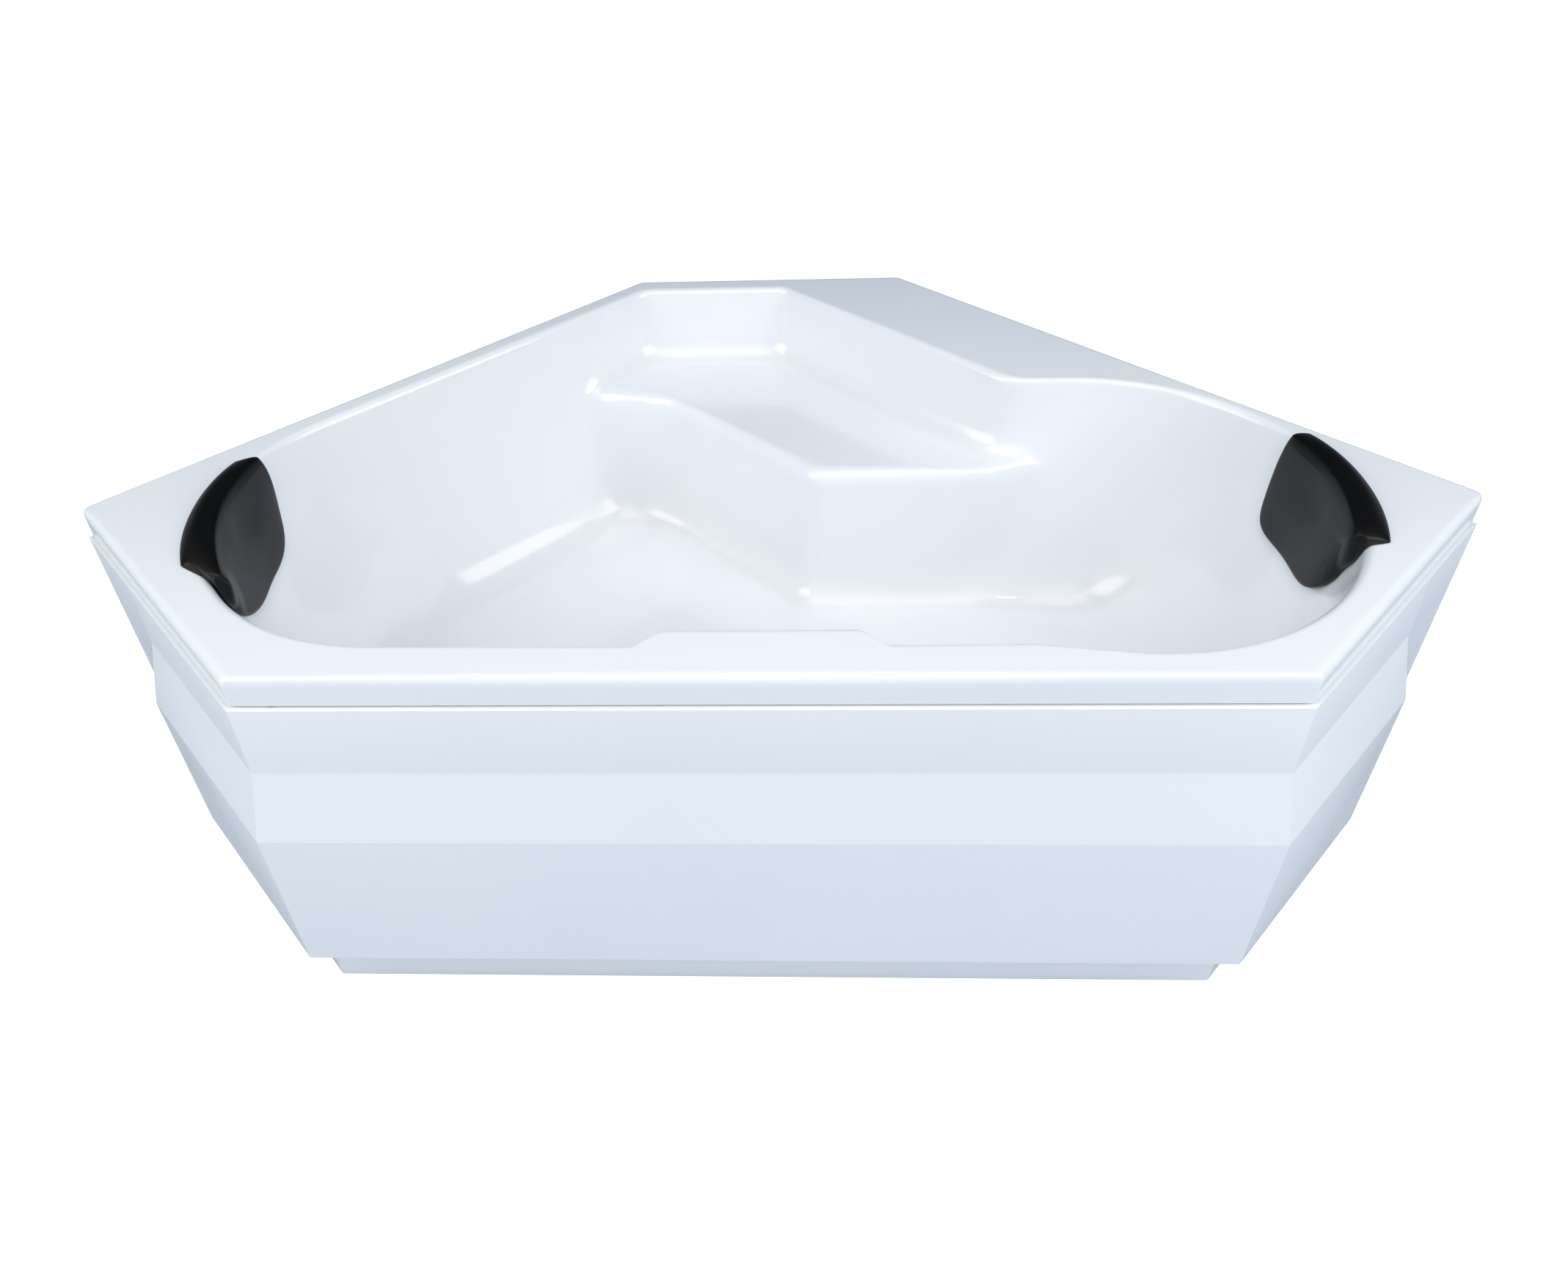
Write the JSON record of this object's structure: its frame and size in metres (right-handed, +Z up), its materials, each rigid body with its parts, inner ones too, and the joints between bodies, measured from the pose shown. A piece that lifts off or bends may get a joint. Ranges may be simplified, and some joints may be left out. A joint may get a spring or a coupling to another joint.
{
  "type": "corner bathtub",
  "caption": "Six-sided corner bathtub with a moulded basin, corner seat, reclining round ends, black head pillows and a folded front panel with a raised block and plinth.",
  "frame": {"origin": "bottom centre of the bounding box, on the floor of the room", "axes": "+X to the right along the front edge, +Y from the front panel to the back edge in the corner of the room, +Z up"},
  "size_m": [2.1286, 1.236, 0.677],
  "materials": {
    "acrylic": "polished white",
    "panel": "polished white",
    "board": "raw board",
    "batten": "planed",
    "frame_steel": "grey powder coat",
    "zinc": "zinc plated",
    "foot_plastic": "moulded",
    "pillow": "matte grained skin over foam",
    "plug_plastic": "moulded",
    "chrome": "polished",
    "seal": "matte",
    "white_plastic": "moulded"
  },
  "bodies": {
    "tub": {"bath_shell": "acrylic", "floor_board": "board", "seat_board": "board", "rim_battens": "batten", "front_rail": "frame_steel", "right_chamfer_rail": "frame_steel", "right_wall_rail": "frame_steel", "back_rail": "frame_steel", "left_wall_rail": "frame_steel", "left_chamfer_rail": "frame_steel", "front_cross_rail": "frame_steel", "rear_cross_rail": "frame_steel", "seat_rail": "frame_steel", "frame_posts": "frame_steel", "seat_struts": "frame_steel", "wall_brackets": "frame_steel", "front_panel": "panel", "panel_brackets": "frame_steel", "panel_screws": "zinc", "weld_nuts": "zinc", "lock_nuts": "zinc", "waste_flange": "chrome", "waste_gasket": "seal", "waste_body": "white_plastic", "lever_pin": "zinc", "trap_body": "white_plastic", "trap_seal": "seal", "trap_nut": "white_plastic", "overflow_cover": "chrome", "overflow_gasket": "seal", "overflow_body": "white_plastic", "overflow_pipe": "white_plastic", "pipe_nuts": "white_plastic", "lift_cable": "plug_plastic", "cable_clips": "plug_plastic"},
    "foot_1": {"foot_stud_1": "zinc", "foot_pad_1": "foot_plastic"},
    "foot_2": {"foot_stud_2": "zinc", "foot_pad_2": "foot_plastic"},
    "foot_3": {"foot_stud_3": "zinc", "foot_pad_3": "foot_plastic"},
    "foot_4": {"foot_stud_4": "zinc", "foot_pad_4": "foot_plastic"},
    "foot_5": {"foot_stud_5": "zinc", "foot_pad_5": "foot_plastic"},
    "foot_6": {"foot_stud_6": "zinc", "foot_pad_6": "foot_plastic"},
    "foot_7": {"foot_stud_7": "zinc", "foot_pad_7": "foot_plastic"},
    "knob": {"overflow_knob": "chrome", "knob_spindle": "zinc"},
    "lever": {"lift_lever": "white_plastic"},
    "plug": {"waste_plug": "chrome", "plug_seal": "seal"},
    "left_pillow": {"pillow_left": "pillow", "pillow_plugs_left": "plug_plastic"},
    "right_pillow": {"pillow_right": "pillow", "pillow_plugs_right": "plug_plastic"}
  },
  "joints": [
    {"name": "foot_1_height", "type": "slide", "parent": "tub", "child": "foot_1", "axis": [0, 0, 1], "range_m": [-0.01, 0.012]},
    {"name": "foot_2_height", "type": "slide", "parent": "tub", "child": "foot_2", "axis": [0, 0, 1], "range_m": [-0.01, 0.012]},
    {"name": "foot_3_height", "type": "slide", "parent": "tub", "child": "foot_3", "axis": [0, 0, 1], "range_m": [-0.01, 0.012]},
    {"name": "foot_4_height", "type": "slide", "parent": "tub", "child": "foot_4", "axis": [0, 0, 1], "range_m": [-0.01, 0.012]},
    {"name": "foot_5_height", "type": "slide", "parent": "tub", "child": "foot_5", "axis": [0, 0, 1], "range_m": [-0.01, 0.012]},
    {"name": "foot_6_height", "type": "slide", "parent": "tub", "child": "foot_6", "axis": [0, 0, 1], "range_m": [-0.01, 0.012]},
    {"name": "foot_7_height", "type": "slide", "parent": "tub", "child": "foot_7", "axis": [0, 0, 1], "range_m": [-0.01, 0.012]},
    {"name": "knob_turn", "type": "hinge", "parent": "tub", "child": "knob", "pos_m": [0, -0.46113, 0.56383], "axis": [0, 0.9792, 0.2031], "range_deg": [0, 90]},
    {"name": "lever_swing", "type": "hinge", "parent": "tub", "child": "lever", "pos_m": [0, -0.298, 0.18001], "axis": [1, 0, 0], "range_deg": [0, 41.5]},
    {"name": "plug_lift", "type": "slide", "parent": "tub", "child": "plug", "axis": [0, 0, 1], "range_m": [0, 0.012]},
    {"name": "left_pillow_lift", "type": "slide", "parent": "tub", "child": "left_pillow", "axis": [0, 0, 1], "range_m": [0, 0.08]},
    {"name": "right_pillow_lift", "type": "slide", "parent": "tub", "child": "right_pillow", "axis": [0, 0, 1], "range_m": [0, 0.08]}
  ],
  "couplings": [
    {"joint": "lever_swing", "follows": "knob_turn", "ratio": 0.461},
    {"joint": "plug_lift", "follows": "knob_turn", "m_per_rad": 0.00763}
  ]
}
